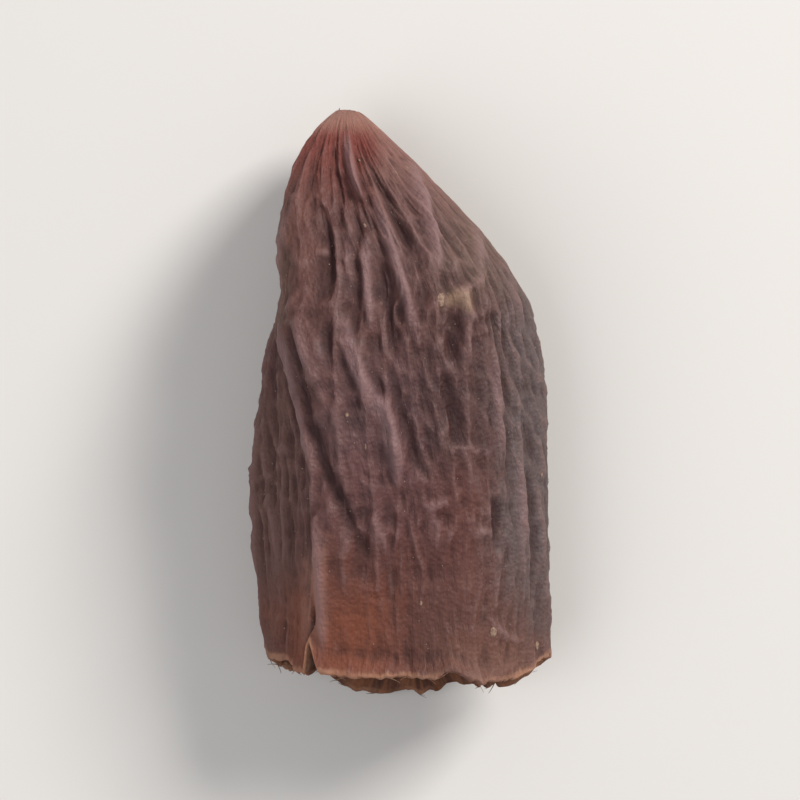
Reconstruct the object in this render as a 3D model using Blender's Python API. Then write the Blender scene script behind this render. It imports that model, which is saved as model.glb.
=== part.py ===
"""Dried fig: one leathery, ridged fruit, pressed flat and lying on its side.

The fruit grew as one piece, so it is one closed body. It starts as a UV sphere whose
rings are carried along the fruit: from the stalk scar over the skin to the open rim,
round the lip, back in along the wall of the flower cup and over the cup's floor.
Metres, +Z up. The stalk scar points along +Y and the open rim along -Y.
"""

import bmesh
import bpy
import numpy as np

MM = 0.001

# Overall size
LENGTH = 27.6 * MM
WIDTH = 14.1 * MM
THICKNESS = 9.5 * MM

# Outline from above: d is the distance from the stalk scar, measured along the fruit
SHOULDER = 15.4 * MM
SHOULDER_POWER = 0.80
SPREAD = 0.04
SCAR_RADIUS = 0.9 * MM
SCAR_OFFSET = -2.85 * MM
SCAR_BEND = 9.4 * MM

# Outline from the side
SCAR_HEIGHT = 3.0 * MM
SIDE_POWER = 0.62
BACK_RISE = 14.5 * MM
BELLY_DROP = 13.0 * MM
RIM_SINK = 1.7 * MM
RIM_LIFT = 1.0 * MM
PRESSED_FLAT = 0.15 * MM

# Faces round a cross-section, going clockwise: direction in degrees at the stalk end,
# direction at the rim end, and distance from the middle as a share of the half size
FACES = (
    (88, 82, 0.92),
    (26, 34, 0.93),
    (-48, -41, 0.98),
    (-94, -92, 0.96),
    (-140, -151, 0.97),
    (-174, -206, 0.93),
)
FACE_TURN = (7.0 * MM, 16.0 * MM)
KEEL_SHARPNESS = (4.0, 7.5)
FACE_SINK = 0.32 * MM
BELLY_BULGE = 0.45 * MM

# Slow swellings left where the flesh dried unevenly
LUMP_HEIGHT = 0.34 * MM

# Wrinkles along the fruit: number of turns round it, and height
COARSE_WRINKLES = (9, 0.40 * MM)
FINE_WRINKLES = (14, 0.24 * MM)
WRINKLE_START = 3.2 * MM
CREASE_SPACING = 2.3 * MM
CREASE_HEIGHT = 0.06 * MM
SEED = 7

# Folds on the upper side, in millimetres: three points from above (x, y), the height, and
# how far the fold spreads to its left and to its right. A groove has a negative height.
FOLDS = (
    ((-2.9, 12.7), (-2.65, 10.8), (-2.1, 9.0), 0.28, 0.42, 0.42),
    ((-2.0, 7.5), (-1.9, 5.0), (-1.65, 2.4), 0.30, 0.42, 0.42),
    ((-1.75, 9.7), (-0.45, 5.8), (0.65, 1.7), 0.34, 0.45, 0.42),
    ((-0.2, 11.3), (0.75, 8.6), (1.6, 5.1), 0.36, 0.45, 0.42),
    ((-5.35, 9.4), (-5.95, 6.3), (-6.15, 3.2), 0.24, 0.42, 0.42),
    ((2.3, 9.6), (3.2, 7.4), (3.6, 5.0), 0.24, 0.42, 0.45),
    ((4.15, 7.0), (5.35, 4.6), (6.15, 1.4), 0.24, 0.42, 0.45),
    ((-6.05, 3.4), (-5.05, -0.5), (-4.35, -4.2), 0.38, 0.42, 0.42),
    ((-4.45, -3.8), (-4.1, -8.4), (-4.15, -13.4), 0.38, 0.42, 0.45),
    ((-2.9, 3.7), (-2.1, 1.1), (-0.9, -1.4), 0.34, 0.60, 0.42),
    ((-1.3, -0.3), (-0.6, -2.4), (-0.3, -4.8), 0.44, 0.60, 0.42),
    ((-1.7, -5.9), (-1.2, -7.1), (-0.7, -8.6), 0.22, 0.42, 0.42),
    ((3.85, 2.4), (4.45, -0.6), (4.65, -3.8), 0.26, 0.42, 0.50),
    ((-4.0, 8.8), (-3.7, 6.8), (-3.7, 4.8), -0.24, 0.42, 0.42),
    ((-1.25, 6.8), (-1.0, 4.1), (-0.15, 1.0), -0.20, 0.42, 0.42),
    ((2.1, 4.5), (2.35, 2.9), (2.4, 1.3), -0.30, 0.42, 0.42),
    ((1.8, 0.7), (2.3, -0.9), (2.8, -2.8), -0.34, 0.42, 0.42),
    ((-5.6, 3.0), (-4.15, -3.0), (-1.9, -8.2), -0.34, 0.42, 0.45),
    ((-1.1, 1.1), (-0.05, -1.8), (0.9, -4.4), -0.22, 0.42, 0.45),
)

# Collar below the rim, the rim itself, and the cup inside it
COLLAR_RISE = (19.4 * MM, 23.4 * MM)
COLLAR_SINK = 0.12 * MM
LIP_FLARE = 0.45 * MM
LIP_PINCH = 0.30 * MM
RIM_LEFT = 1.3 * MM
RIM_RIGHT = 1.3 * MM
RIM_RIGHT_POWER = 16
RIM_WAVE = 0.26 * MM
RIM_SWAY = 0.40 * MM
RIM_UNDER = 0.45 * MM
NOTCH_HALF_WIDTH = 0.14
LIP_WALL = 0.60 * MM
CUP_WALL = 1.4 * MM
CUP_DEPTH = 6.2 * MM
FLOOR_DOME = 0.9 * MM
FLOOR_RAYS = 10
RAY_HEIGHT = 0.22 * MM

# Notches of the rim, most of them at a keel: direction in degrees, and depth in millimetres
NOTCHES = ((67, 0.25), (-8, 0.20), (-66, 0.60), (-122, 0.70), (-178, 0.20), (126.5, 1.20))

# Mesh density: points round the fruit, and rings on each stretch of the profile
AROUND = 96
SKIN_RINGS = 40
LIP_RINGS = 2
CUP_RINGS = 4
FLOOR_RINGS = 4

SKIN_COLOUR = (0.15, 0.072, 0.060, 1.0)
SKIN_ROUGHNESS = 0.62


def clear_scene():
    """Removes whatever the scene holds."""
    for obj in list(bpy.data.objects):
        bpy.data.objects.remove(obj)


def ease(value, low, high):
    """0 below low, 1 above high, and a smooth step between them."""
    share = np.clip((value - low) / (high - low), 0.0, 1.0)
    return share * share * (3.0 - 2.0 * share)


def shoulder(d, reach, power):
    """Rises from 0 at the stalk scar to 1 at reach, steep at first and then level."""
    share = np.clip(d / reach, 0.0, 1.0)
    return (1.0 - (1.0 - share) ** 2) ** power


def side_lines(d):
    """Left and right edge of the outline seen from above."""
    half = 0.5 * WIDTH * shoulder(d, SHOULDER, SHOULDER_POWER)
    half = half * (1.0 - SPREAD * (1.0 - ease(d, 0.40 * LENGTH, 0.85 * LENGTH)))
    scar = SCAR_RADIUS * np.sqrt(ease(d, 0.0, SCAR_RADIUS))
    half = np.sqrt(half**2 + scar**2 * (1.0 - ease(d, 0.0, 4.0 * SCAR_RADIUS)))
    middle = SCAR_OFFSET * np.cos(0.5 * np.pi * np.clip(d / SCAR_BEND, 0.0, 1.0)) ** 1.3
    return middle - half, middle + half


def belly_and_back(d):
    """Lowest and highest point of the outline seen from the side."""
    back = SCAR_HEIGHT + (THICKNESS - SCAR_HEIGHT) * shoulder(d, BACK_RISE, SIDE_POWER)
    back = back - RIM_SINK * ease(d, 0.55 * LENGTH, LENGTH)
    belly = SCAR_HEIGHT - (SCAR_HEIGHT + PRESSED_FLAT) * shoulder(d, BELLY_DROP, SIDE_POWER)
    belly = belly + RIM_LIFT * ease(d, 0.50 * LENGTH, LENGTH)
    return belly, back


def face_terms(phi, d):
    """How strongly each flat face bounds the direction phi: one row for each face."""
    turn = ease(d, *FACE_TURN)
    rows = []
    for stalk_angle, rim_angle, distance in FACES:
        angle = np.radians(stalk_angle + (rim_angle - stalk_angle) * turn)
        rows.append(np.maximum(np.cos(phi - angle), 0.0) / distance)
    return np.array(rows)


def unit_section(phi, d):
    """A rounded polygon in a box of about -1 to 1: the soft meeting of the flat faces."""
    low, high = KEEL_SHARPNESS
    power = low + (high - low) * ease(d, *FACE_TURN)
    reach = (face_terms(phi, d) ** power).sum(axis=0) ** (-1.0 / power)
    return reach * np.cos(phi), reach * np.sin(phi)


def keel_closeness(phi, d):
    """1 on a keel, where two faces bound equally, and 0 in the middle of a face."""
    ranked = np.sort(face_terms(phi, d), axis=0)
    return ease(ranked[-2] / ranked[-1], 0.55, 1.0)


def fitted(values, d, row, low, high):
    """Stretches the unit section so that each station just fills low to high."""
    stations = np.linspace(0.0, LENGTH, 60)
    angles = np.linspace(-np.pi, np.pi, 361)
    grid = np.meshgrid(angles, stations)
    section = unit_section(grid[0], grid[1])[row]
    least = np.interp(d, stations, section.min(axis=1))
    most = np.interp(d, stations, section.max(axis=1))
    return low + (values - least) / (most - least) * (high - low)


def smooth_point(phi, d):
    """Point of the smooth section, and the middle of that section."""
    left, right = side_lines(d)
    belly, back = belly_and_back(d)
    unit_x, unit_z = unit_section(phi, d)
    x = fitted(unit_x, d, 0, left, right)
    z = fitted(unit_z, d, 1, belly, back)
    return x, z, 0.5 * (left + right), 0.5 * (belly + back)


def wander(phi, d, seed):
    """A smooth random value, about -1 to 1, that closes on itself round the fruit."""
    rng = np.random.default_rng(seed)
    total = np.zeros(np.broadcast(phi, d).shape)
    for turns in (1, 2, 3, 5):
        for _ in range(2):
            along = rng.uniform(-9.0, 9.0) / LENGTH
            phase = rng.uniform(0.0, 2.0 * np.pi)
            total = total + np.sin(turns * phi + along * d + phase) / np.sqrt(turns)
    return total / 3.0


def wrinkles(phi, d, turns, seed):
    """Sharp crests along the fruit that wander sideways and fade in and out."""
    crest = 1.0 - np.abs(np.sin(turns * phi + 2.2 * wander(phi, d, seed)))
    strength = 0.55 + 0.45 * wander(phi, d, seed + 1)
    return (crest**1.5 - 0.3) * strength


def creases(phi, d):
    """Shallow folds that run round the fruit, closest together at the collar."""
    turn = 2.0 * np.pi * d / CREASE_SPACING + 2.4 * wander(phi, d, SEED + 30)
    strength = (0.5 + 0.5 * wander(phi, d, SEED + 31)) * ease(d, 0.55 * LENGTH, 0.80 * LENGTH)
    return CREASE_HEIGHT * np.sin(turn) * strength * np.sin(phi) ** 2


def curve_points(start, middle, end, count=13):
    """Points in metres along the parabola through three points given in millimetres."""
    start, middle, end = (np.array(point) * MM for point in (start, middle, end))
    bend = 2.0 * middle - 0.5 * (start + end)
    t = np.linspace(0.0, 1.0, count)[:, None]
    return (1.0 - t) ** 2 * start + 2.0 * t * (1.0 - t) * bend + t**2 * end


def nearest_on_line(x, y, line):
    """Gap from above to a line, more than 0 on its right, and how far along the line that is."""
    nearest = np.full(x.shape, np.inf)
    along = np.zeros(x.shape)
    side = np.ones(x.shape)
    for index, (a, b) in enumerate(zip(line[:-1], line[1:])):
        step = b - a
        share = np.clip(((x - a[0]) * step[0] + (y - a[1]) * step[1]) / (step @ step), 0, 1)
        gap = np.hypot(x - a[0] - share * step[0], y - a[1] - share * step[1])
        turn = np.sign(step[0] * (y - a[1]) - step[1] * (x - a[0]))
        side = np.where(gap < nearest, turn, side)
        along = np.where(gap < nearest, (index + share) / (len(line) - 1), along)
        nearest = np.minimum(nearest, gap)
    return nearest * side, along


def fold_relief(x, y):
    """The folds of the upper side: a bell-shaped bank along each line, fading at its ends."""
    total = np.zeros(x.shape)
    for start, middle, end, height, to_left, to_right in FOLDS:
        gap, along = nearest_on_line(x, y, curve_points(start, middle, end))
        spread = np.where(gap > 0.0, to_right, to_left) * MM
        taper = np.sin(np.pi * along) ** 0.6
        total += height * MM * taper * np.exp(-((gap / spread) ** 2))
    return total


def skin_relief(phi, d, x, y):
    """Height of the skin over the smooth section: folds, wrinkles, faces, collar and lip."""
    upper = ease(np.sin(phi), -0.1, 0.35)
    lower = ease(-np.sin(phi), 0.3, 0.9)
    collar = ease(d, *COLLAR_RISE)
    to_rim = ease(d, 0.90 * LENGTH, LENGTH)
    body = ease(d, 0.0, WRINKLE_START)
    coarse = wrinkles(phi, d, COARSE_WRINKLES[0], SEED) * COARSE_WRINKLES[1]
    fine = wrinkles(phi, d, FINE_WRINKLES[0], SEED + 10) * FINE_WRINKLES[1]
    random_part = (coarse * (1.0 - 0.6 * upper) + fine) * body * (1.0 - 0.6 * collar)
    lumps = LUMP_HEIGHT * wander(phi, d, SEED + 20) * body * (1.0 - 0.5 * upper)
    folds = fold_relief(x, y) * upper * (1.0 - 0.4 * collar)
    face = FACE_SINK * (1.0 - lower) - BELLY_BULGE * lower * (1.0 - to_rim)
    faces = -face * (1.0 - keel_closeness(phi, d)) * ease(d, WRINKLE_START, 0.45 * LENGTH)
    waist = -COLLAR_SINK * collar * (1.0 - to_rim) * np.sin(phi) ** 2
    lip = (LIP_FLARE * ease(d, 0.955 * LENGTH, LENGTH) - LIP_PINCH * to_rim) * np.sin(phi) ** 2
    return random_part + lumps + creases(phi, d) + folds + faces + waist + lip


def rim_reach(phi):
    """How far the rim stands out: short at the sides, notched at keels, longest below."""
    wave = np.sin(3.0 * phi + 0.4) + 0.7 * np.sin(5.0 * phi + 2.0) + 0.5 * np.sin(9.0 * phi)
    to_right, to_left = np.maximum(np.cos(phi), 0.0), np.maximum(-np.cos(phi), 0.0)
    reach = 0.5 * RIM_WAVE * wave - RIM_RIGHT * to_right**RIM_RIGHT_POWER - RIM_LEFT * to_left**2
    reach = reach + RIM_UNDER * ease(-np.sin(phi), 0.0, 0.8)
    for angle, depth in NOTCHES:
        turn = phi - np.radians(angle)
        off = np.arctan2(np.sin(turn), np.cos(turn))
        reach = reach - depth * MM * np.exp(-((off / NOTCH_HALF_WIDTH) ** 2))
    return reach


def profile(ring):
    """Distance along the fruit, depth under the skin and share of the section for each ring."""
    skin = np.clip(ring / SKIN_RINGS, 0.0, 1.0)
    lip = np.clip((ring - SKIN_RINGS) / LIP_RINGS, 0.0, 1.0)
    cup = np.clip((ring - SKIN_RINGS - LIP_RINGS) / CUP_RINGS, 0.0, 1.0)
    floor = np.clip((ring - SKIN_RINGS - LIP_RINGS - CUP_RINGS) / FLOOR_RINGS, 0.0, 1.0)
    d = LENGTH * (0.2 * skin**2 + 0.8 * skin)
    d = d + 0.2 * LIP_WALL * np.sin(np.pi * lip) - CUP_DEPTH * cup
    d = d + FLOOR_DOME * (1.0 - (1.0 - floor) ** 2)
    inset = LIP_WALL * lip + (CUP_WALL - LIP_WALL) * cup
    return d, inset, 1.0 - floor, cup


def fig_surface(phi, ring):
    """Points of the whole fruit for an angle round it and a ring number along its profile."""
    d, inset, share, cup = profile(ring)
    rim_d = np.minimum(d, LENGTH)
    x, z, middle_x, middle_z = smooth_point(phi, rim_d)
    y = 0.5 * LENGTH - d
    relief = skin_relief(phi, rim_d, x, y) * (1.0 - cup)
    away_x, away_z = x - middle_x, z - middle_z
    radius = np.maximum(np.hypot(away_x, away_z), 1e-7)
    new_radius = np.maximum(radius + relief - inset, 0.0) * share
    x = middle_x + away_x / radius * new_radius
    z = middle_z + away_z / radius * new_radius
    near_rim = ease(d, 0.78 * LENGTH, LENGTH) * share
    y = y - rim_reach(phi) * near_rim
    y = y - 4.0 * RAY_HEIGHT * np.cos(FLOOR_RAYS * phi) * share * (1.0 - share)
    z = z + RIM_SWAY * np.sin(2.0 * np.pi * x / WIDTH) * near_rim
    return np.column_stack([x, y, z])


def settle(points):
    """Presses the underside flat on the floor and centres the fruit over the origin."""
    points[:, 2] = np.maximum(points[:, 2], 0.0)
    middle = 0.5 * (points.min(axis=0) + points.max(axis=0))
    points[:, :2] -= middle[:2]
    return points


def skin_material():
    """Dull purple-brown leathery skin."""
    material = bpy.data.materials.new("fig_skin")
    material.use_nodes = True
    shader = material.node_tree.nodes["Principled BSDF"]
    shader.inputs["Base Color"].default_value = SKIN_COLOUR
    shader.inputs["Roughness"].default_value = SKIN_ROUGHNESS
    shader.inputs["Metallic"].default_value = 0.0
    return material


def face_outwards(mesh):
    """Makes every face point away from the flesh."""
    shape = bmesh.new()
    shape.from_mesh(mesh)
    bmesh.ops.recalc_face_normals(shape, faces=shape.faces[:])
    if shape.calc_volume(signed=True) < 0:
        bmesh.ops.reverse_faces(shape, faces=shape.faces[:])
    shape.to_mesh(mesh)
    shape.free()


def build_fig(collection):
    """Reshapes a UV sphere into the fruit. A ring of the sphere is a ring of the profile."""
    rings = SKIN_RINGS + LIP_RINGS + CUP_RINGS + FLOOR_RINGS
    shape = bmesh.new()
    bmesh.ops.create_uvsphere(shape, u_segments=AROUND, v_segments=rings, radius=1.0)
    bmesh.ops.triangulate(shape, faces=shape.faces[:])
    mesh = bpy.data.meshes.new("dried_fig")
    shape.to_mesh(mesh)
    shape.free()
    flat = np.empty(len(mesh.vertices) * 3)
    mesh.vertices.foreach_get("co", flat)
    on_sphere = flat.reshape(-1, 3)
    phi = np.arctan2(on_sphere[:, 1], on_sphere[:, 0])
    ring = np.round(np.arccos(np.clip(on_sphere[:, 2], -1, 1)) / np.pi * rings)
    mesh.vertices.foreach_set("co", settle(fig_surface(phi, ring)).ravel())
    face_outwards(mesh)
    mesh.shade_smooth()
    mesh.materials.append(skin_material())
    collection.objects.link(bpy.data.objects.new("dried_fig", mesh))


def main():
    clear_scene()
    collection = bpy.data.collections.new("dried_fig")
    bpy.context.scene.collection.children.link(collection)
    build_fig(collection)


main()
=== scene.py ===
# %% [markdown]
# # A dried sour fig
#
# The fruit is about 28 mm long. It dried flat, so it has two broad faces, narrow flanks between
# them, and keels where they meet. Its skin shrank into a fan of wrinkles that starts at the stalk
# scar, and its other end is an open rim round the cup that once held the flower.
#
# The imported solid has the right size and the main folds. Here a much finer surface takes its
# place, worked out from the same rules, with finer wrinkles, a frayed rim, the withered flower
# and a layered skin finish on it.

import bpy
import numpy as np
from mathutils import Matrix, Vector


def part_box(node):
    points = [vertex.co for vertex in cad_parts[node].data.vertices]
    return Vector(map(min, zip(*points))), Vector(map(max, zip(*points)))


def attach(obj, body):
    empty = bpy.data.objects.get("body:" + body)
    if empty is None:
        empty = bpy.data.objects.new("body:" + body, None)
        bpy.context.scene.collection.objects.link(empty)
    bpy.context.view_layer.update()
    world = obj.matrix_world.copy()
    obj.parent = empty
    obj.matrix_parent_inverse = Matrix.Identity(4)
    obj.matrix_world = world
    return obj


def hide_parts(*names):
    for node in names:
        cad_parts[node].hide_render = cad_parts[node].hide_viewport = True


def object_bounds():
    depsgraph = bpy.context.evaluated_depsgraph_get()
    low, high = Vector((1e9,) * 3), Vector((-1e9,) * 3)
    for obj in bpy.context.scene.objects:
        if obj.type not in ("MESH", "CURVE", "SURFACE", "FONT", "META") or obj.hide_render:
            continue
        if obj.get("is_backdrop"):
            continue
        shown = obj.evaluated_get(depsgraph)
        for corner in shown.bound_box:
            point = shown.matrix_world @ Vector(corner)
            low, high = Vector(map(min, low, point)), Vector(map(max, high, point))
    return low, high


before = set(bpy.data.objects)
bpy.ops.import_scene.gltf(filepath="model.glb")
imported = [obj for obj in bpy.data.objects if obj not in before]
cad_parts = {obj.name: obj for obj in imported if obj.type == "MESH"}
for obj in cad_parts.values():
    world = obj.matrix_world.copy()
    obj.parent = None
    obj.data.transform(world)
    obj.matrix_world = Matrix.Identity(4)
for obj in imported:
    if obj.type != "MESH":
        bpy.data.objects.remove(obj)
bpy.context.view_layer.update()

# %% [markdown]
# ## The fruit's driving sizes
#
# The solid was made from these sizes. `d` is the distance from the stalk scar along the fruit,
# and `phi` is the direction round it, with 90 degrees straight up.

# %% Sizes of the smooth form
MM = 0.001
LENGTH = 27.6 * MM
WIDTH = 14.1 * MM
THICKNESS = 9.5 * MM
SHOULDER = 15.4 * MM
SHOULDER_POWER = 0.80
SPREAD = 0.04
SCAR_RADIUS = 0.9 * MM
SCAR_OFFSET = -2.85 * MM
SCAR_BEND = 9.4 * MM
SCAR_HEIGHT = 3.0 * MM
SIDE_POWER = 0.62
BACK_RISE = 14.5 * MM
BELLY_DROP = 13.0 * MM
RIM_SINK = 1.7 * MM
RIM_LIFT = 1.0 * MM
PRESSED_FLAT = 0.15 * MM
FACES = (
    (88, 82, 0.92),
    (26, 34, 0.93),
    (-48, -41, 0.98),
    (-94, -92, 0.96),
    (-140, -151, 0.97),
    (-174, -206, 0.93),
)
FACE_TURN = (7.0 * MM, 16.0 * MM)
KEEL_SHARPNESS = (4.0, 7.5)
KEEL_START = 0.55
STATIONS, DIRECTIONS = 60, 361
print("faces round the fruit:", len(FACES))

# %% [markdown]
# ## The smooth form
#
# Seen from above, the fruit is a bullet whose point leans to one side. Seen from the side, it is
# a lens that is cut off at the rim. Between the two outlines, each cross-section is a hexagon
# with soft corners.
#
# Such a form could be sculpted, or lofted through drawn sections. A formula is better here,
# because every later detail can ask it for the surface at any direction and distance. The soft
# hexagon is a power sum: each face says how strongly it bounds a direction, and a high power
# lets the strongest one win, with a rounded hand-over at the corners.

# %% Functions of the smooth form
def ease(value, low, high):
    """0 below low, 1 above high, and the smooth step 3s^2 - 2s^3 between them."""
    share = np.clip((value - low) / (high - low), 0.0, 1.0)
    return share * share * (3.0 - 2.0 * share)


def shoulder(d, reach, power):
    """Rises from 0 to 1 at reach: one minus the squared shortfall, raised to a power."""
    share = np.clip(d / reach, 0.0, 1.0)
    return (1.0 - (1.0 - share) ** 2) ** power


def side_lines(d):
    """Left and right edge from above: a leaning middle line, less and plus a half width."""
    half = 0.5 * WIDTH * shoulder(d, SHOULDER, SHOULDER_POWER)
    half = half * (1.0 - SPREAD * (1.0 - ease(d, 0.40 * LENGTH, 0.85 * LENGTH)))
    scar = SCAR_RADIUS * np.sqrt(ease(d, 0.0, SCAR_RADIUS))
    half = np.sqrt(half**2 + scar**2 * (1.0 - ease(d, 0.0, 4.0 * SCAR_RADIUS)))
    middle = SCAR_OFFSET * np.cos(0.5 * np.pi * np.clip(d / SCAR_BEND, 0.0, 1.0)) ** 1.3
    return middle - half, middle + half


def belly_and_back(d):
    """Lowest and highest point from the side: both leave the scar, and close up at the rim."""
    back = SCAR_HEIGHT + (THICKNESS - SCAR_HEIGHT) * shoulder(d, BACK_RISE, SIDE_POWER)
    back = back - RIM_SINK * ease(d, 0.55 * LENGTH, LENGTH)
    belly = SCAR_HEIGHT - (SCAR_HEIGHT + PRESSED_FLAT) * shoulder(d, BELLY_DROP, SIDE_POWER)
    belly = belly + RIM_LIFT * ease(d, 0.50 * LENGTH, LENGTH)
    return belly, back


def face_terms(phi, d):
    """Strength of each face: the cosine of the angle to its middle, over its distance."""
    turn = ease(d, *FACE_TURN)
    rows = []
    for stalk_angle, rim_angle, distance in FACES:
        angle = np.radians(stalk_angle + (rim_angle - stalk_angle) * turn)
        rows.append(np.maximum(np.cos(phi - angle), 0.0) / distance)
    return np.array(rows)


def unit_section(phi, d):
    """Soft hexagon: the radius is the power sum of the face strengths to the minus one over p."""
    low, high = KEEL_SHARPNESS
    power = low + (high - low) * ease(d, *FACE_TURN)
    reach = (face_terms(phi, d) ** power).sum(axis=0) ** (-1.0 / power)
    return reach * np.cos(phi), reach * np.sin(phi)


def keel_closeness(phi, d):
    """1 where the two strongest faces are equal, on a keel, and 0 in the middle of a face."""
    ranked = np.sort(face_terms(phi, d), axis=0)
    return ease(ranked[-2] / ranked[-1], KEEL_START, 1.0)


def fitted(values, d, row, low, high):
    """Stretches the unit section so that each station just fills low to high."""
    stations = np.linspace(0.0, LENGTH, STATIONS)
    angles = np.linspace(-np.pi, np.pi, DIRECTIONS)
    grid = np.meshgrid(angles, stations)
    section = unit_section(grid[0], grid[1])[row]
    least = np.interp(d, stations, section.min(axis=1))
    most = np.interp(d, stations, section.max(axis=1))
    return low + (values - least) / (most - least) * (high - low)


def smooth_point(phi, d):
    """Point of the smooth section at phi and d, and the middle of that section."""
    left, right = side_lines(d)
    belly, back = belly_and_back(d)
    unit_x, unit_z = unit_section(phi, d)
    x = fitted(unit_x, d, 0, left, right)
    z = fitted(unit_z, d, 1, belly, back)
    return x, z, 0.5 * (left + right), 0.5 * (belly + back)


left_edge, right_edge = side_lines(np.array([0.5 * LENGTH]))
print("width half way along, mm:", round(1000.0 * float(right_edge[0] - left_edge[0]), 2))

# %% [markdown]
# ## Large relief, as on the solid
#
# The flesh sank unevenly as it dried. It left slow swellings, long wrinkles that wander along
# the fruit, and shallow creases across the collar. A sum of a few sines with random phases
# gives or bends each of these, and it closes on itself round the fruit because each sine has a
# whole number of turns.

# %% Slow swellings, long wrinkles and creases
SEED = 7
FACE_SINK = 0.32 * MM
BELLY_BULGE = 0.45 * MM
LUMP_HEIGHT = 0.34 * MM
COARSE_WRINKLES = (9, 0.40 * MM)
FINE_WRINKLES = (14, 0.24 * MM)
WRINKLE_START = 3.2 * MM
CREASE_SPACING = 2.3 * MM
CREASE_HEIGHT = 0.06 * MM


def wander(phi, d, seed):
    """Sum of eight sines of phi and d with random slopes and phases, about -1 to 1."""
    rng = np.random.default_rng(seed)
    total = np.zeros(np.broadcast(phi, d).shape)
    for turns in (1, 2, 3, 5):
        for _ in range(2):
            along = rng.uniform(-9.0, 9.0) / LENGTH
            phase = rng.uniform(0.0, 2.0 * np.pi)
            total = total + np.sin(turns * phi + along * d + phase) / np.sqrt(turns)
    return total / 3.0


def wrinkles(phi, d, turns, seed):
    """Sharp crests where a wandering sine crosses zero, fading in and out along the fruit."""
    crest = 1.0 - np.abs(np.sin(turns * phi + 2.2 * wander(phi, d, seed)))
    strength = 0.55 + 0.45 * wander(phi, d, seed + 1)
    return (crest**1.5 - 0.3) * strength


def creases(phi, d):
    """A sine along the fruit, bent by a slow random shift, on the broad faces at the collar."""
    turn = 2.0 * np.pi * d / CREASE_SPACING + 2.4 * wander(phi, d, SEED + 30)
    strength = (0.5 + 0.5 * wander(phi, d, SEED + 31)) * ease(d, 0.55 * LENGTH, 0.80 * LENGTH)
    return CREASE_HEIGHT * np.sin(turn) * strength * np.sin(phi) ** 2


print("long wrinkles round the fruit:", 2 * COARSE_WRINKLES[0], "and", 2 * FINE_WRINKLES[0])

# %% [markdown]
# ## The folds that give this fruit its face
#
# Some folds are large enough to know the fruit by: the pale keel down the left, the slanting
# crest in the middle, and the fan below the stalk scar. Random wrinkles can't give those, so
# each has its own row: three points seen from above, a height, and its spread to the left and
# to the right, all in millimetres. A parabola joins the points, and a bell curve of the distance
# to it raises a crest, or sinks a groove where the height is negative. Unequal spreads make a
# crest lean, as a fold of leather does.

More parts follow.
